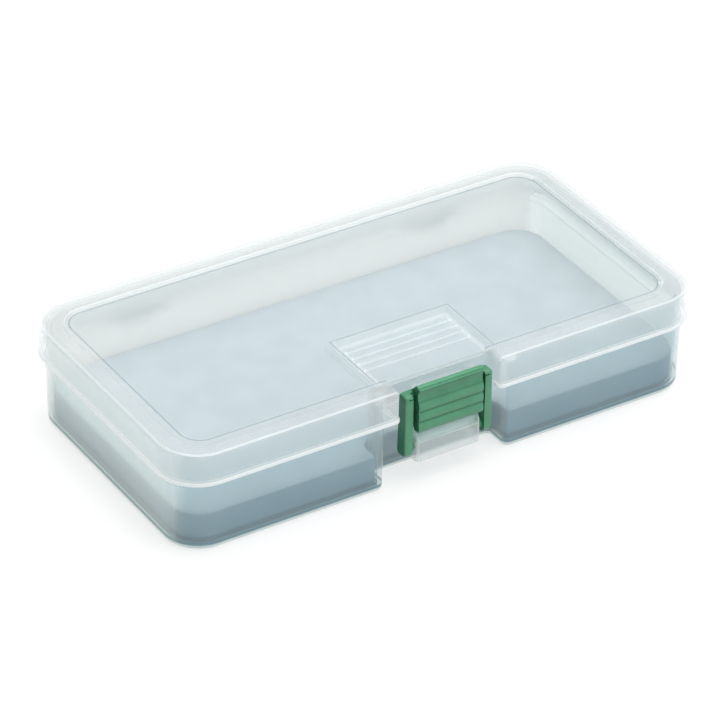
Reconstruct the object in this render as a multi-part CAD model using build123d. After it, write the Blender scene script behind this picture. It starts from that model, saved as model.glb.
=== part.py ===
from build123d import *

import os

# Shallow hinged pencil case, in millimetres.
# +X runs along the case, -Y is the front with the latch, +Z is up.
# The origin is the middle of the underside, on the surface that the case stands on.

# --- overall size -----------------------------------------------------------
LENGTH = 190.0                      # lid, outside
WIDTH = 98.9                        # lid, outside
HEIGHT = 36.0                       # underside to the top of the lid's rim
WALL = 1.4                          # moulded wall of lid and base

# --- base tray --------------------------------------------------------------
BASE_HALF_LENGTH = 92.8             # at the underside
BASE_HALF_WIDTH = 47.2
BASE_CORNER = 12.0
BASE_DRAFT = 1.35                   # degrees, walls lean outwards
BASE_SHOULDER = 24.6                # top of the visible wall, just under the lid's skirt
BASE_RIM_TOP = 34.1                 # top of the thin rim that stands inside the lid
BASE_RIM_LOW = 31.2                 # the rim is lower where the lid's thumb panel dips
BASE_RIM_LOW_HALF = 26.0            # half length of that lower stretch
BASE_RIM_LOW_DEPTH = 14.0           # how far behind the front it reaches
BASE_FLOOR = 1.5
BASE_BOTTOM_ROUND = 2.0
BASE_NOTCH_HALF = 21.9
BASE_NOTCH_DEPTH = 9.2              # from the front face to the notch's back face
BASE_NOTCH_CORNER = 2.6
BASE_NOTCH_INNER_CORNER = 1.6

# --- lid --------------------------------------------------------------------
LID_CORNER = 14.0
LID_SKIRT_BOTTOM = 25.1
LID_SKIRT_WALL = 1.3
LID_TOP_ROUND = 1.45
LID_NOTCH_HALF = 18.0
LID_NOTCH_DEPTH = 9.1
LID_NOTCH_CORNER = 1.6
LID_NOTCH_INNER_CORNER = 0.9
LIP_PROUD = 0.3                     # bead round the lower edge of the skirt
LIP_HEIGHT = 1.1
LIP_ROUND = 0.27
RIM_WIDTH = 7.0                     # raised border of the lid, outer edge to the step
STEP_WIDTH = 1.8                    # the step slopes down to the window over this width
WINDOW_DROP = 0.8                   # window plane below the rim
WINDOW_CORNER = 7.0

# --- ribbed thumb panel, a dip in the lid behind the latch ------------------
PANEL_HALF = 21.2
PANEL_DEPTH = 26.5                  # from the notch's back wall towards the hinge
PANEL_FLOOR = 33.0
PANEL_SLOPE = 0.7                   # the side and back walls lean out by this much
PANEL_FLOOR_CORNER = 1.0
PANEL_TOP_CORNER = 1.6
PANEL_MOUTH = 4.0                   # the full-width mouth reaches this far behind the notch
PANEL_RIB_COUNT = 4
PANEL_RIB_PITCH = 3.68
PANEL_RIB_HALF = 19.4
PANEL_RIB_RADIUS = 1.5
PANEL_RIB_HEIGHT = 0.4
PANEL_RIB_START = 4.6               # first rib behind the panel's back wall
PANEL_LIP_RADIUS = 0.6              # bead along the floor's front edge

# --- catch on the lid, which the latch's hook snaps over --------------------
CATCH_HALF = 9.5
CATCH_REACH = 4.0
CATCH_TOP = 30.8
CATCH_THICKNESS = 1.5

# --- latch boss on the base -------------------------------------------------
BOSS_HALF = 11.7
BOSS_FRONT = -49.0
BOSS_BOTTOM = 7.7
BOSS_TOP = 18.3
BOSS_TOP_ROUND = 3.4
BOSS_EDGE_ROUND = 1.3               # along both upright front edges
BOSS_FRONT_WALL = 1.4
BOSS_SIDE_WALL = 1.8
BOSS_BACK_WALL = 1.0                # in front of the notch's own wall

# --- latch ------------------------------------------------------------------
PIVOT_Y = -46.1
PIVOT_Z = 12.6
PIVOT_RADIUS = 1.6
PIVOT_CLEARANCE = 0.05              # radial, between the stubs and the boss
STUB_INNER = 10.3                   # the stubs reach this far in towards the middle
PAD_FRONT = -50.0
PAD_HALF = 11.7
PAD_BOTTOM = 19.0
PAD_TOP = 35.3
PAD_THICK = 3.4                     # at the fat middle of each rib
PAD_THIN = 2.4                      # at the grooves between ribs
RIB_PITCH = 3.65
RIB_COUNT = 3
RIB_FRONT_GROOVE = 0.5
GRIP_HOLLOW = 0.85                  # hollow for the fingertip above the ribs
GRIP_HOLLOW_Z = 32.6
PAD_LIP_Z = 34.4                    # small lip along the top of the hollow
PAD_LIP_RADIUS = 0.3
CREST_Y = -48.5                     # top of the pad, behind the lip
CREST_BACK_Y = -47.3
CREST_BACK_DROP = 0.6
HOOK_TIP_Y = -44.7
HOOK_TIP_Z = 31.7
HOOK_TIP_RISE = 0.6                 # half the hook's thickness at its rounded tip
HOOK_TIP_ROUND = 0.35
BAR_THICKNESS = 1.7                 # bar in line with the hook that joins the pad to the arms
BAR_BELOW = 0.9                     # bar's underside below the hook's tip
BAR_INTO_ARM = 1.0
WEB_THICKNESS = 2.1                 # webs below the bar, behind both ends of the pad
WEB_BOTTOM = 21.0
WEB_OVERLAP = 0.5                   # into the arm, and behind the pad's end
ARM_INNER = 13.05
ARM_OUTER = 15.9
ARM_FRONT = -48.7
ARM_DEPTH = 5.1                     # front to back at the foot
ARM_LEAN = 0.9                      # the back leans forward by this much at the top
ARM_BOTTOM = 10.0
ARM_TOP = 32.4
ARM_FOOT_ROUND = 1.9
ARM_TOP_FRONT_ROUND = 1.4
ARM_TOP_BACK_ROUND = 0.8
ARM_EDGE_ROUND = 0.9
NICK_DEPTH = 0.5                    # short nick across the front of each arm
NICK_TOP_DROP = 1.0
NICK_HEIGHT = 0.4

# --- rear hinge -------------------------------------------------------------
HINGE_Y = 50.6
HINGE_Z = 22.4
HINGE_PLACES = {"left": -55.0, "right": 55.0}
KNUCKLE_RADIUS = 2.35
BASE_KNUCKLE_LENGTH = 5.0
LID_KNUCKLE_LENGTH = 10.0
KNUCKLE_GAP = 0.3
PIN_RADIUS = 1.2
PIN_CLEARANCE = 0.05                # radial, in the lid's knuckle
PIN_PRESS = 0.01                    # radial interference in the base's knuckles
PIN_RECESS = 0.3                    # the pin's ends sit below the knuckles' ends
BASE_WEB_DROP = 5.9                 # the base's webs start this far below the hinge's axis
LID_WEB_HEIGHT = 4.7                # the lid's webs run this far up the skirt

# --- foam liner -------------------------------------------------------------
FOAM_GAP = 0.6                      # all round, to the base's inner wall
FOAM_TOP = 12.8
FOAM_LIFT = 0.1
FOAM_EDGE_ROUND = 1.2

FAR = 200.0                         # larger than the case, for cutting tools
LID_FRONT = -WIDTH / 2
LID_NOTCH_BACK = LID_FRONT + LID_NOTCH_DEPTH
PANEL_BACK = LID_NOTCH_BACK + PANEL_DEPTH


def notched_outline(half_length, half_width, corner, notch_half, notch_depth, convex, concave):
    """Rounded rectangle with a rounded notch in the middle of its front side."""
    plain = RectangleRounded(2 * half_length, 2 * half_width, corner)
    notch_centre = -half_width + notch_depth / 2
    notched = plain - Pos(0, notch_centre) * Rectangle(2 * notch_half, notch_depth)
    front_y = -half_width
    back_y = -half_width + notch_depth
    near_notch = notched.vertices().filter_by(lambda v: abs(v.X) < notch_half + 1)
    front = near_notch.filter_by(lambda v: abs(v.Y - front_y) < 0.1)
    notched = fillet(front, convex)
    back = notched.vertices().filter_by(lambda v: abs(v.X) < notch_half + 1 and abs(v.Y - back_y) < 0.1)
    return fillet(back, concave)


def slab(outline, low, high, taper=0.0):
    """Straight or tapered prism on an outline, from one height to another."""
    return Pos(0, 0, low) * extrude(outline, high - low, taper=taper)


def block(x_low, x_high, y_low, y_high, z_low, z_high):
    """Box given by its lowest and highest corners."""
    size = (x_high - x_low, y_high - y_low, z_high - z_low)
    centre = ((x_low + x_high) / 2, (y_low + y_high) / 2, (z_low + z_high) / 2)
    return Pos(*centre) * Box(*size)


def x_rod(y, z, radius, x_low, x_high):
    """Round rod along X."""
    return Pos((x_low + x_high) / 2, y, z) * Rot(0, 90, 0) * Cylinder(radius, x_high - x_low)


def x_prism(face_yz, x_low, x_high):
    """Prism along X on a profile drawn in the YZ plane."""
    return Pos(x_low, 0, 0) * extrude(Plane.YZ * face_yz, x_high - x_low)


def base_outline():
    return notched_outline(
        BASE_HALF_LENGTH,
        BASE_HALF_WIDTH,
        BASE_CORNER,
        BASE_NOTCH_HALF,
        BASE_NOTCH_DEPTH,
        BASE_NOTCH_CORNER,
        BASE_NOTCH_INNER_CORNER,
    )


def base_shell():
    """Tapered tub with a thin straight rim that stands up inside the lid."""
    outline = base_outline()
    tub = slab(outline, 0, BASE_SHOULDER, -BASE_DRAFT)
    tub = fillet(tub.faces().sort_by(Axis.Z)[0].edges(), BASE_BOTTOM_ROUND)
    hollow = slab(offset(outline, -WALL), BASE_FLOOR, BASE_SHOULDER - WALL, -BASE_DRAFT)
    rim = slab(outline, BASE_SHOULDER - WALL, BASE_RIM_TOP)
    throat = slab(offset(outline, -WALL), BASE_FLOOR, BASE_RIM_TOP + 1)
    low_front = -BASE_HALF_WIDTH - 1
    dip = block(
        -BASE_RIM_LOW_HALF,
        BASE_RIM_LOW_HALF,
        low_front,
        low_front + BASE_RIM_LOW_DEPTH,
        BASE_RIM_LOW,
        HEIGHT,
    )
    return tub + rim - hollow - throat - dip


def latch_boss():
    """Hollow boss, open below, that carries the latch's pivot in its two side walls."""
    notch_face = -BASE_HALF_WIDTH + BASE_NOTCH_DEPTH
    back = notch_face + WALL / 2
    outer = boss_profile(BOSS_FRONT, back, BOSS_BOTTOM, BOSS_TOP, BOSS_TOP_ROUND)
    inner = boss_profile(
        BOSS_FRONT + BOSS_FRONT_WALL,
        notch_face - BOSS_BACK_WALL,
        BOSS_BOTTOM - 1,
        BOSS_TOP - BOSS_FRONT_WALL,
        BOSS_TOP_ROUND - BOSS_FRONT_WALL,
    )
    boss = x_prism(outer, -BOSS_HALF, BOSS_HALF)
    ends = boss.edges().filter_by(Axis.X, reverse=True)
    front_edges = [
        edge for edge in ends
        if edge.center().Y < BOSS_FRONT + BOSS_TOP_ROUND and edge.center().Z > BOSS_BOTTOM + 1
    ]
    boss = fillet(front_edges, BOSS_EDGE_ROUND)
    inner_half = BOSS_HALF - BOSS_SIDE_WALL
    boss -= x_prism(inner, -inner_half, inner_half)
    return boss - x_rod(PIVOT_Y, PIVOT_Z, PIVOT_RADIUS + PIVOT_CLEARANCE, -FAR, FAR)


def boss_profile(front, back, bottom, top, top_round):
    """Side profile with a quarter-round top front edge."""
    side = Polyline((back, bottom), (front, bottom), (front, top - top_round))
    nose = RadiusArc((front, top - top_round), (front + top_round, top), top_round)
    close = Polyline((front + top_round, top), (back, top), (back, bottom))
    return make_face([*side.edges(), *nose.edges(), *close.edges()])


def hinge_lug(x_low, x_high, root_y, root_low, root_high):
    """Knuckle with a flat web that reaches it from a wall."""
    knuckle = x_rod(HINGE_Y, HINGE_Z, KNUCKLE_RADIUS, x_low, x_high)
    web = make_face(
        Polyline(
            (root_y, root_low),
            (HINGE_Y, HINGE_Z - KNUCKLE_RADIUS),
            (HINGE_Y, HINGE_Z),
            (root_y, root_high),
            close=True,
        )
    )
    return knuckle + x_prism(web, x_low, x_high)


def hinge_bore(radius):
    """Holes for the hinge pins at both places along the case."""
    reach = LID_KNUCKLE_LENGTH / 2 + KNUCKLE_GAP + BASE_KNUCKLE_LENGTH + 1
    bores = [x_rod(HINGE_Y, HINGE_Z, radius, x - reach, x + reach) for x in HINGE_PLACES.values()]
    return bores[0] + bores[1]


def base_hinge_lugs():
    """Two knuckles at each hinge place, on webs from the rear wall."""
    near = LID_KNUCKLE_LENGTH / 2 + KNUCKLE_GAP
    far = near + BASE_KNUCKLE_LENGTH
    root_y = BASE_HALF_WIDTH - WALL / 2
    root_low = HINGE_Z - BASE_WEB_DROP
    lugs = []
    for x in HINGE_PLACES.values():
        lugs.append(hinge_lug(x - far, x - near, root_y, root_low, HINGE_Z))
        lugs.append(hinge_lug(x + near, x + far, root_y, root_low, HINGE_Z))
    return lugs


def base_tray():
    tray = base_shell() + latch_boss()
    for lug in base_hinge_lugs():
        tray += lug
    return tray - hinge_bore(PIN_RADIUS - PIN_PRESS)


def window_recess():
    """Sloping step down from the lid's rim, and everything above the window plane."""
    rim = RectangleRounded(LENGTH - 2 * RIM_WIDTH, WIDTH - 2 * RIM_WIDTH, WINDOW_CORNER + STEP_WIDTH)
    inset = RIM_WIDTH + STEP_WIDTH
    window = RectangleRounded(LENGTH - 2 * inset, WIDTH - 2 * inset, WINDOW_CORNER)
    return loft([Pos(0, 0, HEIGHT - WINDOW_DROP) * window, Pos(0, 0, HEIGHT) * rim])


def panel_recess():
    """Dip for the thumb: steep side and back walls down to a flat floor."""
    front = LID_NOTCH_BACK
    middle = (front + PANEL_BACK) / 2
    floor = RectangleRounded(2 * (PANEL_HALF - PANEL_SLOPE), PANEL_DEPTH - PANEL_SLOPE, PANEL_FLOOR_CORNER)
    top = RectangleRounded(2 * PANEL_HALF, PANEL_DEPTH, PANEL_TOP_CORNER)
    dip = loft([Pos(0, middle - PANEL_SLOPE / 2, PANEL_FLOOR) * floor, Pos(0, middle, HEIGHT) * top])
    # The floor runs straight out into the notch.
    half = LID_NOTCH_HALF
    mouth = block(-half, half, front - 1, front + PANEL_MOUTH, PANEL_FLOOR, HEIGHT + 1)
    return dip + mouth


def panel_ribs():
    """Low round ribs across the back of the panel, and a bead along its front edge."""
    ribs = []
    centre_z = PANEL_FLOOR + PANEL_RIB_HEIGHT - PANEL_RIB_RADIUS
    for index in range(PANEL_RIB_COUNT):
        y = PANEL_BACK - PANEL_RIB_START - index * PANEL_RIB_PITCH
        rib = x_rod(y, centre_z, PANEL_RIB_RADIUS, -PANEL_RIB_HALF, PANEL_RIB_HALF)
        ribs.append(rib & block(-FAR, FAR, -FAR, FAR, PANEL_FLOOR - WALL / 2, HEIGHT))
    lip_half = LID_NOTCH_HALF - LID_NOTCH_INNER_CORNER
    lip_z = PANEL_FLOOR - PANEL_LIP_RADIUS / 2
    ribs.append(x_rod(LID_NOTCH_BACK, lip_z, PANEL_LIP_RADIUS, -lip_half, lip_half))
    return ribs


def lid_shell():
    """Top and skirt, with the latch notch, the window and the thumb panel."""
    outline = notched_outline(
        LENGTH / 2,
        WIDTH / 2,
        LID_CORNER,
        LID_NOTCH_HALF,
        LID_NOTCH_DEPTH,
        LID_NOTCH_CORNER,
        LID_NOTCH_INNER_CORNER,
    )
    outer = slab(outline, LID_SKIRT_BOTTOM, HEIGHT)
    outer = fillet(outer.faces().sort_by(Axis.Z)[-1].edges(), LID_TOP_ROUND)
    lip = slab(offset(outline, LIP_PROUD), LID_SKIRT_BOTTOM, LID_SKIRT_BOTTOM + LIP_HEIGHT)
    lip = fillet(lip.faces().sort_by(Axis.Z)[-1].edges(), LIP_ROUND)
    outer = outer + lip - window_recess() - panel_recess()

    inset = RIM_WIDTH + STEP_WIDTH - WALL
    window_underside = RectangleRounded(LENGTH - 2 * inset, WIDTH - 2 * inset, WINDOW_CORNER + WALL)
    panel_half = PANEL_HALF + WALL
    hollow = slab(offset(outline, -LID_SKIRT_WALL), LID_SKIRT_BOTTOM - 1, HEIGHT - WALL)
    hollow -= slab(window_underside, HEIGHT - WINDOW_DROP - WALL, HEIGHT)
    hollow -= block(
        -panel_half, panel_half, LID_NOTCH_BACK, PANEL_BACK + WALL, PANEL_FLOOR - WALL, HEIGHT
    )
    return outer - hollow


def lid_catch():
    """Ledge on the notch's back wall, under the latch's hook."""
    root = LID_NOTCH_BACK + LID_SKIRT_WALL / 2
    nose = LID_NOTCH_BACK - CATCH_REACH
    lead = CATCH_THICKNESS / 2
    profile = make_face(
        Polyline(
            (root, CATCH_TOP),
            (nose + lead, CATCH_TOP),
            (nose, CATCH_TOP - lead),
            (nose + lead, CATCH_TOP - CATCH_THICKNESS),
            (root, CATCH_TOP - 2 * CATCH_THICKNESS),
            close=True,
        )
    )
    return x_prism(profile, -CATCH_HALF, CATCH_HALF)


def lid_hinge_lugs():
    """One knuckle at each hinge place, hanging from the rear skirt."""
    skirt_outer = WIDTH / 2
    skirt_middle = skirt_outer - LID_SKIRT_WALL / 2
    web_top = LID_SKIRT_BOTTOM + LID_WEB_HEIGHT
    web = make_face(
        Polyline(
            (skirt_middle, LID_SKIRT_BOTTOM),
            (HINGE_Y - KNUCKLE_RADIUS, HINGE_Z),
            (HINGE_Y + KNUCKLE_RADIUS, HINGE_Z),
            (skirt_outer, web_top),
            (skirt_middle, web_top),
            close=True,
        )
    )
    half = LID_KNUCKLE_LENGTH / 2
    lugs = []
    for x in HINGE_PLACES.values():
        lugs.append(x_rod(HINGE_Y, HINGE_Z, KNUCKLE_RADIUS, x - half, x + half))
        lugs.append(x_prism(web, x - half, x + half))
    return lugs


def lid():
    cover = lid_shell() + lid_catch()
    for piece in panel_ribs() + lid_hinge_lugs():
        cover += piece
    return cover - hinge_bore(PIN_RADIUS + PIN_CLEARANCE)


def pad_profile():
    """Side profile of the finger pad: fat ribs below, a hollow grip and a hook on top."""
    groove = PAD_FRONT + RIB_FRONT_GROOVE
    thin_back = PAD_FRONT + PAD_THIN
    heights = [PAD_BOTTOM + RIB_PITCH * step for step in range(RIB_COUNT + 1)]
    edges = [*Line((groove, PAD_BOTTOM), (thin_back, PAD_BOTTOM)).edges()]
    for low, high in zip(heights, heights[1:]):
        middle = (low + high) / 2
        edges += ThreePointArc((groove, low), (PAD_FRONT, middle), (groove, high)).edges()
        edges += ThreePointArc((thin_back, low), (PAD_FRONT + PAD_THICK, middle), (thin_back, high)).edges()
    return make_face(edges + grip_edges((groove, heights[-1]), (thin_back, heights[-1])))


def grip_edges(front, back):
    """Edges of the pad's profile above its ribs, from the front groove over the top to the back."""
    lip_front = (PAD_FRONT, PAD_LIP_Z)
    valley = (PAD_FRONT + 2 * PAD_LIP_RADIUS, PAD_LIP_Z)
    crest_back = (CREST_BACK_Y, PAD_TOP - CREST_BACK_DROP)
    above_tip = (HOOK_TIP_Y - HOOK_TIP_ROUND, HOOK_TIP_Z + HOOK_TIP_RISE)
    below_tip = (HOOK_TIP_Y - HOOK_TIP_ROUND, HOOK_TIP_Z - HOOK_TIP_RISE)
    lines = [
        ThreePointArc(front, (PAD_FRONT + GRIP_HOLLOW, GRIP_HOLLOW_Z), lip_front),
        ThreePointArc(lip_front, (PAD_FRONT + PAD_LIP_RADIUS, PAD_LIP_Z + PAD_LIP_RADIUS), valley),
        ThreePointArc(valley, (CREST_Y, PAD_TOP), crest_back),
        Line(crest_back, above_tip),
        ThreePointArc(above_tip, (HOOK_TIP_Y, HOOK_TIP_Z), below_tip),
        Line(below_tip, back),
    ]
    return [edge for line in lines for edge in line.edges()]


def latch_bar():
    """Bar in line with the hook that joins the pad to both arms."""
    half = ARM_INNER + BAR_INTO_ARM
    low = HOOK_TIP_Z - BAR_BELOW
    high = HOOK_TIP_Z + HOOK_TIP_RISE
    return block(-half, half, HOOK_TIP_Y - BAR_THICKNESS, HOOK_TIP_Y, low, high)


def latch_webs():
    """Webs that hang from the bar's ends and close the gaps between the pad and the arms."""
    low = PAD_HALF - WEB_OVERLAP
    high = ARM_INNER + WEB_OVERLAP
    web = block(low, high, HOOK_TIP_Y - WEB_THICKNESS, HOOK_TIP_Y, WEB_BOTTOM, HOOK_TIP_Z)
    return web + mirror(web, about=Plane.YZ)


def arm_profile():
    """Side profile of an arm: rounded foot about the pivot, back leaning forward, rounded top."""
    back = ARM_FRONT + ARM_DEPTH
    outline = Polyline(
        (ARM_FRONT, ARM_BOTTOM),
        (back, ARM_BOTTOM),
        (back - ARM_LEAN, ARM_TOP),
        (ARM_FRONT, ARM_TOP),
        close=True,
    )
    face = make_face(outline)
    feet = face.vertices().filter_by(lambda v: v.Y < ARM_BOTTOM + 1)
    face = fillet(feet, ARM_FOOT_ROUND)
    top_front = face.vertices().filter_by(lambda v: v.Y > ARM_TOP - 1).sort_by(Axis.X)[0]
    face = fillet(top_front, ARM_TOP_FRONT_ROUND)
    top_back = face.vertices().filter_by(lambda v: v.Y > ARM_TOP - 0.1).sort_by(Axis.X)[-1]
    return fillet(top_back, ARM_TOP_BACK_ROUND)


def latch_arm(side):
    """One arm with its inward pivot stub; side is -1 for left and 1 for right."""
    arm = x_prism(arm_profile(), ARM_INNER, ARM_OUTER)
    arm = fillet(arm.faces().sort_by(Axis.X)[-1].edges(), ARM_EDGE_ROUND)
    # The nick crosses the inner half of the arm's front, just under its rounded top.
    nick_end = (ARM_INNER + ARM_OUTER) / 2
    nick_top = ARM_TOP - NICK_TOP_DROP
    arm -= block(
        ARM_INNER, nick_end, ARM_FRONT - 1, ARM_FRONT + NICK_DEPTH, nick_top - NICK_HEIGHT, nick_top
    )
    arm += x_rod(PIVOT_Y, PIVOT_Z, PIVOT_RADIUS, STUB_INNER, ARM_INNER + WALL / 2)
    if side < 0:
        arm = mirror(arm, about=Plane.YZ)
    return arm


def latch_clip():
    pad = x_prism(pad_profile(), -PAD_HALF, PAD_HALF)
    return pad + latch_bar() + latch_webs() + latch_arm(-1) + latch_arm(1)


def hinge_pin(place):
    """Straight pin through one set of knuckles."""
    x = HINGE_PLACES[place]
    half = LID_KNUCKLE_LENGTH / 2 + KNUCKLE_GAP + BASE_KNUCKLE_LENGTH - PIN_RECESS
    return x_rod(HINGE_Y, HINGE_Z, PIN_RADIUS, x - half, x + half)


def foam_pad():
    """Foam block that lines the bottom of the tray, cut round the latch notch."""
    outline = offset(base_outline(), -(WALL + FOAM_GAP))
    block_of_foam = slab(outline, BASE_FLOOR + FOAM_LIFT, FOAM_TOP)
    return fillet(block_of_foam.faces().sort_by(Axis.Z)[-1].edges(), FOAM_EDGE_ROUND)


def write_part(node, shape):
    """Write one sub-part under its node's name."""
    shape.label = node
    export_step(shape, f"parts/{node}.step")


os.makedirs("parts", exist_ok=True)
write_part("base_tray", base_tray())
write_part("lid", lid())
write_part("latch_clip", latch_clip())
write_part("foam_pad", foam_pad())
for hinge_place in HINGE_PLACES:
    write_part(f"hinge_pin_{hinge_place}", hinge_pin(hinge_place))
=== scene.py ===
import math

import bpy
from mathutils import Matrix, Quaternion, Vector


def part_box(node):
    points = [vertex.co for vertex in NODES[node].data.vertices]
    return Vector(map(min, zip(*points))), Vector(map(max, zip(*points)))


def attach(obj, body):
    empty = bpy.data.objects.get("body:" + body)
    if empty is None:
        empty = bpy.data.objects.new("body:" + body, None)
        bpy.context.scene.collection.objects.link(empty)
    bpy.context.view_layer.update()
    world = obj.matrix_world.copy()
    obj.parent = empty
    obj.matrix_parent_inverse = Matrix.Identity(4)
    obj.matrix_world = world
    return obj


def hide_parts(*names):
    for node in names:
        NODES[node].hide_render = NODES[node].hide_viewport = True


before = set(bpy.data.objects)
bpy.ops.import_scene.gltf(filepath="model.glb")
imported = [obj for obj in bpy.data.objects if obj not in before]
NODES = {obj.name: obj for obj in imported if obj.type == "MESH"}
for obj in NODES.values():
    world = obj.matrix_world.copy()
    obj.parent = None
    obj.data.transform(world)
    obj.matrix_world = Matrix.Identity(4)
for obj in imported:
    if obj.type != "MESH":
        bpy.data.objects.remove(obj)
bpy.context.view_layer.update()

# --- places, in metres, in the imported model's frame ---------------------------
LID_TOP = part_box("lid")[1].z
BASE_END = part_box("base_tray")[1].x
FOAM_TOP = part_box("foam_pad")[1].z

LID_HALF_LENGTH = 0.0950
LID_HALF_WIDTH = 0.04945            # without the bead round the skirt and the hinge
WINDOW_INSET = 0.0091               # outer edge of the lid to where the frost ends, 0.3 mm past the step
WINDOW_CORNER = 0.007
STEP_WIDTH = 0.0018                 # slope between the rim and the window
LID_CORNER = 0.014
RIM_FADE = (LID_TOP - 0.0016, LID_TOP - 0.0010)    # the rim's marks come in between these heights
CREASE_FADE = (LID_TOP - 0.0014, LID_TOP - 0.0012)
LIP_TOP = 0.0262                    # bead round the skirt's lower edge
NOTCH_BACK = -0.0380                # rear face of the notch in the base's front wall
NOTCH_SIDE = (0.0200, 0.0230)       # the front wall beside the notch begins between these
FRONT_FADE = (-0.036, -0.032)       # the front wall's painted shade ends between these depths
REAR_FADE = (0.040, 0.045)          # the rear wall's milk comes in between these
REAR_FACE = (0.0480, 0.0484)        # and ends here, in front of the hinge
FOOT_FADE = (0.0016, 0.0020)        # top of the pale strip along the underside
LOW_WALL = (0.0021, 0.0029)         # band of wall painted with the liner's shaded side as seen through it
LOW_WALL_END = (0.036, 0.042)       # it ends between these depths, before the rear wall
BOSS_SIDE = 0.0118                  # just outside the side faces of the latch's boss
BOSS_BEND = 0.0146                  # just below where the boss's front rounds over
PANEL_HALF = 0.0212                 # thumb panel in the lid
PANEL_FADE = (0.0324, 0.0328)       # its marks come in just below its floor
PANEL_BACK = -0.01385
PANEL_FRONT = -0.0404
PANEL_RIB_FIRST = PANEL_BACK - 0.0046
PANEL_RIB_PITCH = 0.00368
PANEL_RIB_COUNT = 4
PANEL_RIB_LAST = PANEL_RIB_FIRST - (PANEL_RIB_COUNT - 1) * PANEL_RIB_PITCH
PANEL_RIB_HALF = 0.0194
PAD_BOTTOM = 0.0190                 # ribbed finger pad of the latch
PAD_HALF = 0.0117
PAD_RIB_PITCH = 0.00365
PAD_RIB_COUNT = 3
PAD_RIBS_TOP = PAD_BOTTOM + PAD_RIB_COUNT * PAD_RIB_PITCH
FLOOR_HALF = 3.0
FLOOR_LEVEL = -0.0002               # just clear of the underside, so that the two faces don't coincide


# --- colours ------------------------------------------------------------------
# Natural plastic: a MILK or SHADE is what the milky share scatters, a TINT what the clear share lets by.
LID_MILK = (0.94, 0.955, 0.955, 1.0)
LID_TINT = (0.962, 0.976, 0.978, 1.0)
BASE_MILK = (0.86, 0.895, 0.89, 1.0)
BASE_TINT = (0.94, 0.96, 0.96, 1.0)
# Painted shade: darker tints on the front wall stand in for the shade on the liner behind it, darkest
# above the liner, under the lid's rim.
FRONT_PAINTED_SHADE = (0.80, 0.885, 0.91, 1.0)
FRONT_PAINTED_SHADE_UPPER = (0.74, 0.825, 0.85, 1.0)
RIM_TINT = (0.92, 0.925, 0.925, 1.0)
REAR_MILK = (0.98, 0.975, 0.96, 1.0)
SIDE_TINT = (0.93, 0.98, 0.96, 1.0)
FOOT_MILK = (0.82, 0.91, 0.88, 1.0)
# Painted shade: the liner's side as seen through the wall's foot, darker along the front than at the
# ends.
LINER_PAINTED_SHADE_FRONT = (0.14, 0.26, 0.33, 1.0)
LINER_PAINTED_SHADE_SIDE = (0.36, 0.50, 0.49, 1.0)
# Painted light: a teal that stands in for the green latch showing through the boss's top.
BOSS_TOP_PAINTED_LATCH_LIGHT = (0.68, 0.92, 0.84, 1.0)
# Painted shade in the creases round the window and the thumb panel.
CREASE_PAINTED_SHADE = (0.36, 0.44, 0.47, 1.0)
LATCH_GREEN = (0.054, 0.240, 0.124, 1.0)
LATCH_GREEN_LIGHT = (0.068, 0.275, 0.146, 1.0)
# Painted shade: the latch green used in the grooves, on faces that look down and on the side faces.
LATCH_GREEN_PAINTED_SHADE = (0.012, 0.085, 0.040, 1.0)
FOAM_TOP_COLOUR = (0.51, 0.57, 0.61, 1.0)
FOAM_TOP_COLOUR_LIGHT = (0.57, 0.63, 0.67, 1.0)
# Painted shade: the foam's colour on faces that do not look up.
FOAM_SIDE_PAINTED_SHADE = (0.245, 0.355, 0.415, 1.0)
FOAM_SIDE_PAINTED_SHADE_LIGHT = (0.285, 0.395, 0.455, 1.0)
STEEL_DARK = (0.50, 0.51, 0.52, 1.0)
STEEL_BRIGHT = (0.66, 0.66, 0.66, 1.0)
FLOOR_GREY = (0.35, 0.35, 0.35, 1.0)
FLOOR_GREY_LIGHT = (0.37, 0.37, 0.37, 1.0)
WHITE = (1.0, 1.0, 1.0, 1.0)

# --- strengths ----------------------------------------------------------------
# Milky share of one wall surface: the plain wall's, and what each feature adds to it.
LID_VEIL = (0.08, 0.10)             # least and most, with the cloudiness
FROST_VEIL = 0.13
EDGE_LINE_VEIL = 0.25
RIB_VEIL = 0.07
PANEL_VEIL = 0.04
PANEL_WALL_VEIL = 0.26
LIP_VEIL = 0.55
CREASE_VEIL = 0.55
BASE_VEIL = (0.13, 0.16)
ABOVE_FOAM_VEIL = 0.02
FOOT_VEIL = 0.5
LOW_WALL_VEIL = 0.6
REAR_VEIL = 0.55
END_VEIL = 0.2
BOSS_VEIL = 0.14
BOSS_EDGE_VEIL = 0.26
MOST_VEIL = 0.95
GLOW_SHARE = 0.45                   # share of the milky light that comes through from behind
SKIN_GLOSS = 0.035                  # gloss seen straight on
SKIN_GLOSS_GRAZING = 0.85           # what grazing angles add to it
CLOUD = (0.3, 0.7)                  # noise values taken as least and most cloudy
FLOOR_GLOW = 0.60


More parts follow.
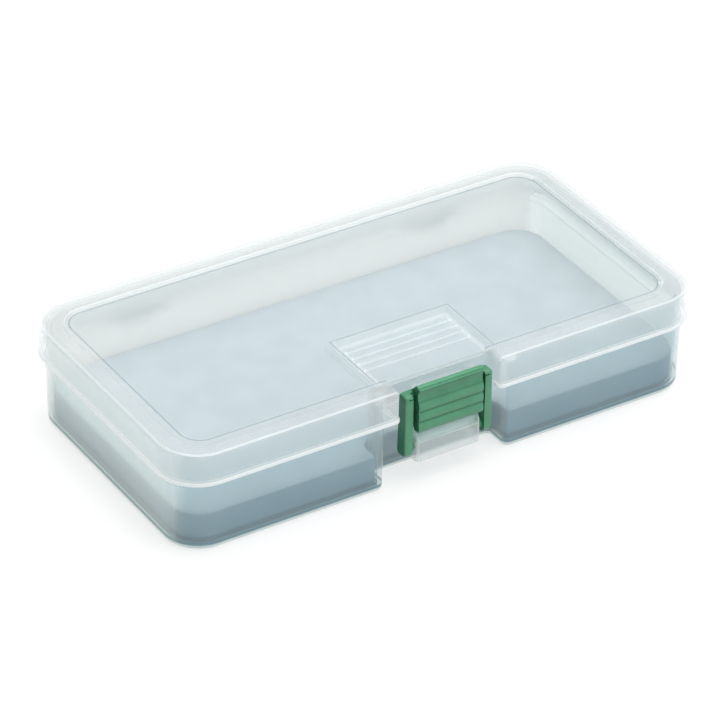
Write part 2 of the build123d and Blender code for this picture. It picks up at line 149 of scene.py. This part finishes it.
# --- small helpers for node materials ----------------------------------------
class Nodes:
    """Short calls for building one node material."""

    def __init__(self, name):
        self.material = bpy.data.materials.new(name)
        self.material.use_nodes = True
        self.tree = self.material.node_tree
        self.tree.nodes.clear()
        self.output = self.tree.nodes.new("ShaderNodeOutputMaterial")
        self.coordinates = self.tree.nodes.new("ShaderNodeTexCoord").outputs["Object"]

    def add(self, kind, **settings):
        node = self.tree.nodes.new(kind)
        for name, value in settings.items():
            setattr(node, name, value)
        return node

    def link(self, source, target):
        self.tree.links.new(source, target)

    def feed(self, socket, value):
        if isinstance(value, bpy.types.NodeSocket):
            self.link(value, socket)
        else:
            socket.default_value = value

    def maths(self, operation, *values):
        node = self.add("ShaderNodeMath", operation=operation)
        for socket, value in zip(node.inputs, values):
            self.feed(socket, value)
        return node.outputs[0]

    def vector(self, operation, first, second=None):
        node = self.add("ShaderNodeVectorMath", operation=operation)
        self.feed(node.inputs[0], first)
        if second is not None:
            self.feed(node.inputs[1], second)
        return node.outputs["Value" if operation == "LENGTH" else "Vector"]

    def ramp(self, value, low, high, out_low=0.0, out_high=1.0):
        """Smooth change of a value between two limits."""
        node = self.add("ShaderNodeMapRange", interpolation_type="SMOOTHSTEP")
        self.feed(node.inputs["Value"], value)
        node.inputs["From Min"].default_value = low
        node.inputs["From Max"].default_value = high
        node.inputs["To Min"].default_value = out_low
        node.inputs["To Max"].default_value = out_high
        return node.outputs["Result"]

    def noise(self, scale, detail=3.0, roughness=0.5, stretch=(1.0, 1.0, 1.0)):
        """Noise in the part's own metres, so a scale of 1000 is about one feature per millimetre."""
        place = self.vector("MULTIPLY", self.coordinates, stretch)
        node = self.add("ShaderNodeTexNoise")
        self.link(place, node.inputs["Vector"])
        node.inputs["Scale"].default_value = scale
        node.inputs["Detail"].default_value = detail
        node.inputs["Roughness"].default_value = roughness
        return node.outputs["Fac"]

    def mix_colour(self, share, first, second):
        node = self.add("ShaderNodeMix", data_type="RGBA")
        self.feed(node.inputs[0], share)
        self.feed(node.inputs[6], first)
        self.feed(node.inputs[7], second)
        return node.outputs[2]

    def times(self, first, second):
        """Product of two masks, or of a mask and its strength."""
        return self.maths("MULTIPLY", first, second)

    def bump(self, height, distance, strength):
        node = self.add("ShaderNodeBump")
        self.link(height, node.inputs["Height"])
        node.inputs["Distance"].default_value = distance
        node.inputs["Strength"].default_value = strength
        return node.outputs["Normal"]

    def mix_shader(self, share, first, second):
        node = self.add("ShaderNodeMixShader")
        self.feed(node.inputs[0], share)
        self.link(first, node.inputs[1])
        self.link(second, node.inputs[2])
        return node.outputs[0]

    def normal_part(self, axis):
        """One component of the surface's own normal."""
        split = self.add("ShaderNodeSeparateXYZ")
        self.link(self.add("ShaderNodeTexCoord").outputs["Normal"], split.inputs[0])
        return split.outputs[axis]

    def part(self, axis):
        """One coordinate of the surface point."""
        split = self.add("ShaderNodeSeparateXYZ")
        self.link(self.coordinates, split.inputs[0])
        return split.outputs[axis]

    def band(self, value, low, high):
        """One between two limits, with soft sides."""
        soft = (high - low) / 2
        rise = self.ramp(value, low - soft, low)
        return self.times(rise, self.ramp(value, high, high + soft, 1.0, 0.0))

    def height(self):
        return self.part("Z")

    def depth(self):
        return self.part("Y")

    def sideways(self):
        return self.maths("ABSOLUTE", self.part("X"))

    def total(self, *values):
        """Sum of shares, short of one so that some of what is below always shows."""
        result = values[0]
        for value in values[1:]:
            result = self.maths("ADD", result, value)
        return self.maths("MINIMUM", result, MOST_VEIL)

    def beyond_corner(self, half_length, half_width, corner):
        """Distance from the straight core of a rounded rectangle; equals the corner on its outline."""
        core = (half_length - corner, half_width - corner, 1.0)
        beyond = self.vector("SUBTRACT", self.vector("ABSOLUTE", self.coordinates), core)
        return self.vector("LENGTH", self.vector("MAXIMUM", beyond, (0.0, 0.0, 0.0)))

    def finish(self, shader):
        self.link(shader, self.output.inputs["Surface"])
        return self.material


def paint(node_name, material):
    """Give a CAD node one material."""
    slots = NODES[node_name].data.materials
    slots.clear()
    slots.append(material)


# --- materials ----------------------------------------------------------------
def cast_plastic(nodes, veil, milk, tint, gloss_roughness, normal):
    """Thin translucent moulding: a see-through body, a milky share and a polished skin.

    veil is the milky share of one wall surface, milk its colour, and tint what the clear share
    lets through. The skin's gloss grows towards grazing angles.
    """
    clear = nodes.add("ShaderNodeBsdfTransparent")
    nodes.feed(clear.inputs["Color"], tint)
    body = nodes.add("ShaderNodeBsdfDiffuse")
    nodes.feed(body.inputs["Color"], milk)
    nodes.link(normal, body.inputs["Normal"])
    glow = nodes.add("ShaderNodeBsdfTranslucent")
    nodes.feed(glow.inputs["Color"], milk)
    nodes.link(normal, glow.inputs["Normal"])
    milky = nodes.mix_shader(GLOW_SHARE, body.outputs[0], glow.outputs[0])
    seen = nodes.mix_shader(veil, clear.outputs[0], milky)
    skin = nodes.add("ShaderNodeBsdfGlossy")
    skin.inputs["Color"].default_value = WHITE
    nodes.feed(skin.inputs["Roughness"], gloss_roughness)
    nodes.link(normal, skin.inputs["Normal"])
    slant = nodes.add("ShaderNodeLayerWeight")
    nodes.link(normal, slant.inputs["Normal"])
    grazing = nodes.maths("POWER", slant.outputs["Facing"], 5.0)
    gloss = nodes.maths("MULTIPLY_ADD", grazing, SKIN_GLOSS_GRAZING, SKIN_GLOSS)
    return nodes.mix_shader(gloss, seen, skin.outputs[0])


def mould_grain(nodes):
    """Normal of a moulded face, with a very fine grain."""
    return nodes.bump(nodes.noise(700.0, 2.0), distance=0.000004, strength=0.15)


def lid_plastic():
    """Clear polished window; satin rim and skirt; thick rounded edges that scatter more light."""
    nodes = Nodes("lid_natural_plastic")
    outside = nodes.beyond_corner(
        LID_HALF_LENGTH - WINDOW_INSET, LID_HALF_WIDTH - WINDOW_INSET, WINDOW_CORNER
    )
    from_rounding = nodes.beyond_corner(LID_HALF_LENGTH, LID_HALF_WIDTH, LID_CORNER)
    frost = nodes.ramp(outside, WINDOW_CORNER, WINDOW_CORNER + STEP_WIDTH)
    cloud = nodes.noise(55.0, 4.0)
    height = nodes.height()
    upper = nodes.ramp(height, *RIM_FADE)
    lip = nodes.ramp(height, LIP_TOP, LIP_TOP + 0.0003, 1.0, 0.0)
    flat_top = nodes.times(
        nodes.times(frost, upper),
        nodes.ramp(nodes.maths("ABSOLUTE", nodes.normal_part("Z")), 0.80, 0.95),
    )
    # How far a point lies outside the thumb panel; negative inside it.
    past_panel = nodes.maths(
        "MAXIMUM",
        nodes.maths("SUBTRACT", nodes.sideways(), PANEL_HALF),
        nodes.maths("SUBTRACT", nodes.depth(), PANEL_BACK),
    )
    panel_zone = nodes.times(
        nodes.ramp(nodes.depth(), PANEL_FRONT, PANEL_FRONT + 0.0004),
        nodes.ramp(height, *PANEL_FADE),
    )
    in_panel = nodes.times(nodes.ramp(past_panel, -0.0010, -0.0008, 1.0, 0.0), panel_zone)
    panel_wall = nodes.times(nodes.band(past_panel, -0.0024, -0.0002), panel_zone)
    from_rib = nodes.maths(
        "PINGPONG", nodes.maths("SUBTRACT", nodes.depth(), PANEL_RIB_FIRST), PANEL_RIB_PITCH / 2
    )
    on_ribs = nodes.times(
        nodes.ramp(nodes.sideways(), PANEL_RIB_HALF - 0.0006, PANEL_RIB_HALF, 1.0, 0.0),
        nodes.band(nodes.depth(), PANEL_RIB_LAST - 0.001, PANEL_RIB_FIRST + 0.001),
    )
    ribs = nodes.times(
        nodes.ramp(from_rib, 0.0003, 0.0009, 1.0, 0.0),
        nodes.times(on_ribs, in_panel),
    )
    # Painted shade: thin dark lines round the window and the thumb panel, where the wall bends.
    crease = nodes.times(
        nodes.maths(
            "MAXIMUM",
            nodes.times(nodes.band(past_panel, 0.0001, 0.0004), panel_zone),
            nodes.band(outside, WINDOW_CORNER, WINDOW_CORNER + 0.0004),
        ),
        nodes.ramp(height, *CREASE_FADE),
    )
    # Bright lines along the outer rounding and the top of the step.
    lines = nodes.times(
        nodes.maths(
            "MAXIMUM",
            nodes.band(from_rounding, LID_CORNER - 0.0011, LID_CORNER - 0.0006),
            nodes.band(outside, WINDOW_CORNER + STEP_WIDTH - 0.0003, WINDOW_CORNER + STEP_WIDTH),
        ),
        upper,
    )
    veil = nodes.total(
        nodes.ramp(cloud, *CLOUD, *LID_VEIL),
        nodes.times(frost, FROST_VEIL),
        nodes.times(lines, EDGE_LINE_VEIL),
        nodes.times(ribs, RIB_VEIL),
        nodes.times(in_panel, PANEL_VEIL),
        nodes.times(panel_wall, PANEL_WALL_VEIL),
        nodes.times(lip, LIP_VEIL),
        nodes.times(crease, CREASE_VEIL),
    )
    milk = nodes.mix_colour(crease, LID_MILK, CREASE_PAINTED_SHADE)
    tint = nodes.mix_colour(flat_top, LID_TINT, RIM_TINT)
    roughness = nodes.maths("MULTIPLY_ADD", frost, 0.18, nodes.ramp(cloud, *CLOUD, 0.05, 0.08))
    shader = cast_plastic(nodes, veil, milk, tint, roughness, mould_grain(nodes))
    return nodes.finish(shader)


def base_plastic():
    """The same plastic in satin walls, milkier in the boss, the rear wall and the bottom edge."""
    nodes = Nodes("base_natural_plastic")
    cloud = nodes.noise(45.0, 4.0)
    height = nodes.height()
    above_foam = nodes.ramp(height, FOAM_TOP - 0.001, FOAM_TOP + 0.002)
    foot = nodes.ramp(height, *FOOT_FADE, 1.0, 0.0)
    rear = nodes.times(
        nodes.ramp(nodes.depth(), *REAR_FADE),
        nodes.ramp(nodes.depth(), *REAR_FACE, 1.0, 0.0),
    )
    boss = nodes.times(
        nodes.ramp(nodes.depth(), NOTCH_BACK - 0.0006, NOTCH_BACK - 0.0002, 1.0, 0.0),
        nodes.ramp(nodes.sideways(), BOSS_SIDE, BOSS_SIDE + 0.002, 1.0, 0.0),
    )
    boss_edge = nodes.maths(
        "MAXIMUM",
        nodes.band(nodes.sideways(), BOSS_SIDE - 0.0011, BOSS_SIDE - 0.0005),
        nodes.band(height, BOSS_BEND, BOSS_BEND + 0.0004),
    )
    ends = nodes.ramp(nodes.sideways(), BASE_END - 0.0022, BASE_END - 0.0012)
    front = nodes.times(
        nodes.times(
            nodes.ramp(nodes.depth(), *FRONT_FADE, 1.0, 0.0),
            nodes.ramp(nodes.maths("ABSOLUTE", nodes.normal_part("Y")), 0.35, 0.75),
        ),
        nodes.ramp(nodes.sideways(), *NOTCH_SIDE),
    )
    # Painted shade: a dark band in the wall's foot stands for the liner's shaded side, down to the
    # bottom rounding.
    low_wall = nodes.times(
        nodes.band(height, *LOW_WALL),
        nodes.ramp(nodes.depth(), *LOW_WALL_END, 1.0, 0.0),
    )
    veil = nodes.total(
        nodes.ramp(cloud, *CLOUD, *BASE_VEIL),
        nodes.times(above_foam, ABOVE_FOAM_VEIL),
        nodes.times(foot, FOOT_VEIL),
        nodes.times(low_wall, LOW_WALL_VEIL),
        nodes.times(rear, REAR_VEIL),
        nodes.times(ends, END_VEIL),
        nodes.times(boss, nodes.maths("MULTIPLY_ADD", boss_edge, BOSS_EDGE_VEIL, BOSS_VEIL)),
    )
    milk = nodes.mix_colour(rear, BASE_MILK, REAR_MILK)
    milk = nodes.mix_colour(foot, milk, FOOT_MILK)
    # Painted light: the boss's top scatters teal for the green latch showing through.
    boss_top = nodes.times(boss, nodes.ramp(height, BOSS_BEND - 0.001, BOSS_BEND + 0.002))
    milk = nodes.mix_colour(boss_top, milk, BOSS_TOP_PAINTED_LATCH_LIGHT)
    # Painted shade of the liner's side in the band, lighter at the ends than along the front.
    milk = nodes.mix_colour(low_wall, milk, nodes.mix_colour(ends, LINER_PAINTED_SHADE_FRONT, LINER_PAINTED_SHADE_SIDE))
    # Painted shade: the front wall's darker tints, darkest above the liner.
    front_painted_shade = nodes.mix_colour(above_foam, FRONT_PAINTED_SHADE, FRONT_PAINTED_SHADE_UPPER)
    tint = nodes.mix_colour(front, nodes.mix_colour(ends, BASE_TINT, SIDE_TINT), front_painted_shade)
    roughness = nodes.ramp(cloud, *CLOUD, 0.18, 0.24)
    shader = cast_plastic(nodes, veil, milk, tint, roughness, mould_grain(nodes))
    return nodes.finish(shader)


def latch_plastic():
    """Satin green moulding, with painted shade in the grooves between the ribs, in the scoop above them,
    on the faces that look down and on the side faces.
    """
    nodes = Nodes("latch_green_plastic")
    shader = nodes.add("ShaderNodeBsdfPrincipled")
    cloud = nodes.noise(220.0, 4.0)
    colour = nodes.mix_colour(nodes.ramp(cloud, *CLOUD), LATCH_GREEN, LATCH_GREEN_LIGHT)
    from_groove = nodes.maths(
        "PINGPONG", nodes.maths("SUBTRACT", nodes.height(), PAD_BOTTOM), PAD_RIB_PITCH / 2
    )
    groove = nodes.ramp(from_groove, 0.0, 0.0007, 1.0, 0.0)
    on_ribs = nodes.times(
        nodes.ramp(nodes.height(), PAD_RIBS_TOP + 0.0004, PAD_RIBS_TOP + 0.0008, 1.0, 0.0),
        nodes.ramp(nodes.sideways(), PAD_HALF, PAD_HALF + 0.0002, 1.0, 0.0),
    )
    scoop = nodes.band(nodes.height(), PAD_RIBS_TOP + 0.0012, PAD_RIBS_TOP + 0.0032)
    underside = nodes.ramp(nodes.normal_part("Z"), -0.7, 0.1, 1.0, 0.0)
    side = nodes.ramp(nodes.maths("ABSOLUTE", nodes.normal_part("X")), 0.5, 0.9)
    # Painted shade in the grooves, the scoop, on faces that look down and on the side faces.
    shade = nodes.total(
        nodes.times(nodes.times(groove, on_ribs), 0.45),
        nodes.times(scoop, 0.2),
        nodes.times(underside, 0.35),
        nodes.times(side, 0.72),
    )
    colour = nodes.mix_colour(shade, colour, LATCH_GREEN_PAINTED_SHADE)
    nodes.link(colour, shader.inputs["Base Color"])
    nodes.feed(shader.inputs["Roughness"], nodes.ramp(cloud, 0.25, 0.75, 0.28, 0.38))
    shader.inputs["IOR"].default_value = 1.49
    nodes.link(nodes.bump(nodes.noise(900.0, 2.0), 0.00001, 0.2), shader.inputs["Normal"])
    return nodes.finish(shader.outputs[0])


def foam_material():
    """Closed-cell foam: grey-blue, matt, with fine cells, and painted shade on the faces that do not
    look up.
    """
    nodes = Nodes("liner_foam")
    shader = nodes.add("ShaderNodeBsdfPrincipled")
    cloud = nodes.noise(90.0, 4.0)
    cells = nodes.add("ShaderNodeTexVoronoi")
    cells.inputs["Scale"].default_value = 1600.0
    nodes.link(nodes.coordinates, cells.inputs["Vector"])
    pore = nodes.ramp(cells.outputs["Distance"], 0.15, 0.75)
    tone = nodes.maths("ADD", nodes.ramp(cloud, *CLOUD, 0.0, 0.8), nodes.times(pore, 0.2))
    top = nodes.mix_colour(tone, FOAM_TOP_COLOUR, FOAM_TOP_COLOUR_LIGHT)
    # Painted shade on the faces that do not look up.
    side_shade = nodes.mix_colour(tone, FOAM_SIDE_PAINTED_SHADE, FOAM_SIDE_PAINTED_SHADE_LIGHT)
    facing_up = nodes.ramp(nodes.normal_part("Z"), 0.3, 0.8)
    colour = nodes.mix_colour(facing_up, side_shade, top)
    nodes.link(colour, shader.inputs["Base Color"])
    nodes.feed(shader.inputs["Roughness"], nodes.ramp(cloud, *CLOUD, 0.8, 0.95))
    nodes.link(nodes.bump(pore, 0.00005, 0.3), shader.inputs["Normal"])
    return nodes.finish(shader.outputs[0])


def pin_steel():
    """Drawn wire: fine lines along X."""
    nodes = Nodes("drawn_steel")
    shader = nodes.add("ShaderNodeBsdfPrincipled")
    lines = nodes.noise(4000.0, 2.0, stretch=(0.02, 1.0, 1.0))
    colour = nodes.mix_colour(lines, STEEL_DARK, STEEL_BRIGHT)
    nodes.link(colour, shader.inputs["Base Color"])
    shader.inputs["Metallic"].default_value = 1.0
    nodes.feed(shader.inputs["Roughness"], nodes.ramp(lines, *CLOUD, 0.28, 0.42))
    nodes.link(nodes.bump(lines, 0.00002, 0.3), shader.inputs["Normal"])
    return nodes.finish(shader.outputs[0])


# --- foam liner ---------------------------------------------------------------
def foam_liner():
    """Foam block from the CAD solid's outline, with softened edges and a faintly uneven top."""
    voxel = 0.0011
    wave_height = 0.00018
    wave_length = 0.024
    wave_shift = 0.7
    mesh = NODES["foam_pad"].data.copy()
    liner = bpy.data.objects.new("foam_liner", mesh)
    bpy.context.scene.collection.objects.link(liner)
    remesh = liner.modifiers.new("cells", "REMESH")
    remesh.mode = "VOXEL"
    remesh.voxel_size = voxel
    smooth = liner.modifiers.new("soft_edges", "SMOOTH")
    smooth.factor = 0.5
    smooth.iterations = 4
    evaluated = liner.evaluated_get(bpy.context.evaluated_depsgraph_get())
    liner.data = bpy.data.meshes.new_from_object(evaluated)
    liner.modifiers.clear()
    for vertex in liner.data.vertices:
        if vertex.co.z > FOAM_TOP - 2 * voxel:
            wave = math.sin(vertex.co.x / wave_length) * math.sin(vertex.co.y / wave_length + wave_shift)
            vertex.co.z -= wave_height * (1 + wave) / 2
    liner.data.polygons.foreach_set("use_smooth", [True] * len(liner.data.polygons))
    liner.data.materials.clear()
    liner.data.materials.append(foam_material())
    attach(liner, "base")
    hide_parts("foam_pad")


# --- studio -------------------------------------------------------------------
def make_camera():
    """Long lens, from the left of the latch side and above."""
    target = Vector((0.0099, 0.01868, 0.0))
    distance = 1.4162
    azimuth = math.radians(-32.14)
    elevation = math.radians(33.25)
    roll = math.radians(0.75)
    away = Vector(
        (
            math.sin(azimuth) * math.cos(elevation),
            -math.cos(azimuth) * math.cos(elevation),
            math.sin(elevation),
        )
    )
    data = bpy.data.cameras.new("camera")
    data.lens = 221.0
    data.sensor_width = 36.0
    data.clip_start = 0.01
    camera = bpy.data.objects.new("camera", data)
    camera.rotation_mode = "QUATERNION"
    camera.location = target + away * distance
    camera.rotation_quaternion = (-away).to_track_quat("-Z", "Y") @ Quaternion((0, 0, 1), roll)
    bpy.context.scene.collection.objects.link(camera)
    bpy.context.scene.camera = camera


def make_floor():
    """Plain white sheet."""
    mesh = bpy.data.meshes.new("floor")
    ways = ((-1, -1), (1, -1), (1, 1), (-1, 1))
    corners = [(x * FLOOR_HALF, y * FLOOR_HALF, FLOOR_LEVEL) for x, y in ways]
    mesh.from_pydata(corners, [], [(0, 1, 2, 3)])
    floor = bpy.data.objects.new("floor", mesh)
    bpy.context.scene.collection.objects.link(floor)
    nodes = Nodes("floor_white")
    shader = nodes.add("ShaderNodeBsdfPrincipled")
    speck = nodes.noise(30.0, 2.0)
    white = nodes.mix_colour(speck, FLOOR_GREY, FLOOR_GREY_LIGHT)
    nodes.link(white, shader.inputs["Base Color"])
    shader.inputs["Roughness"].default_value = 0.9
    # A back-lit sheet, so that the case throws only a faint shadow on it.
    shader.inputs["Emission Color"].default_value = WHITE
    shader.inputs["Emission Strength"].default_value = FLOOR_GLOW
    mesh.materials.append(nodes.finish(shader.outputs[0]))


def make_lights():
    """Even white surroundings and three large lamps."""
    world = bpy.data.worlds.new("white_room")
    bpy.context.scene.world = world
    world.use_nodes = True
    background = world.node_tree.nodes["Background"]
    background.inputs["Color"].default_value = WHITE
    background.inputs["Strength"].default_value = 0.5
    softbox("overhead", place=(0.15, -0.10, 1.2), size=1.4, watts=17.0)
    softbox("front_fill", place=(0.8, -1.0, 0.5), size=0.8, watts=2.5)
    softbox("rear_fill", place=(0.0, 1.2, 0.30), size=0.7, watts=4.5)


def softbox(name, place, size, watts):
    """Square area lamp that faces the case."""
    data = bpy.data.lights.new(name, "AREA")
    data.size = size
    data.energy = watts
    lamp = bpy.data.objects.new(name, data)
    lamp.location = place
    lamp.rotation_mode = "QUATERNION"
    lamp.rotation_quaternion = (-Vector(place)).to_track_quat("-Z", "Y")
    bpy.context.scene.collection.objects.link(lamp)


make_camera()
make_floor()
make_lights()
bpy.context.scene.view_settings.view_transform = "Standard"

paint("lid", lid_plastic())
paint("base_tray", base_plastic())
paint("latch_clip", latch_plastic())
steel = pin_steel()
paint("hinge_pin_left", steel)
paint("hinge_pin_right", steel)
foam_liner()
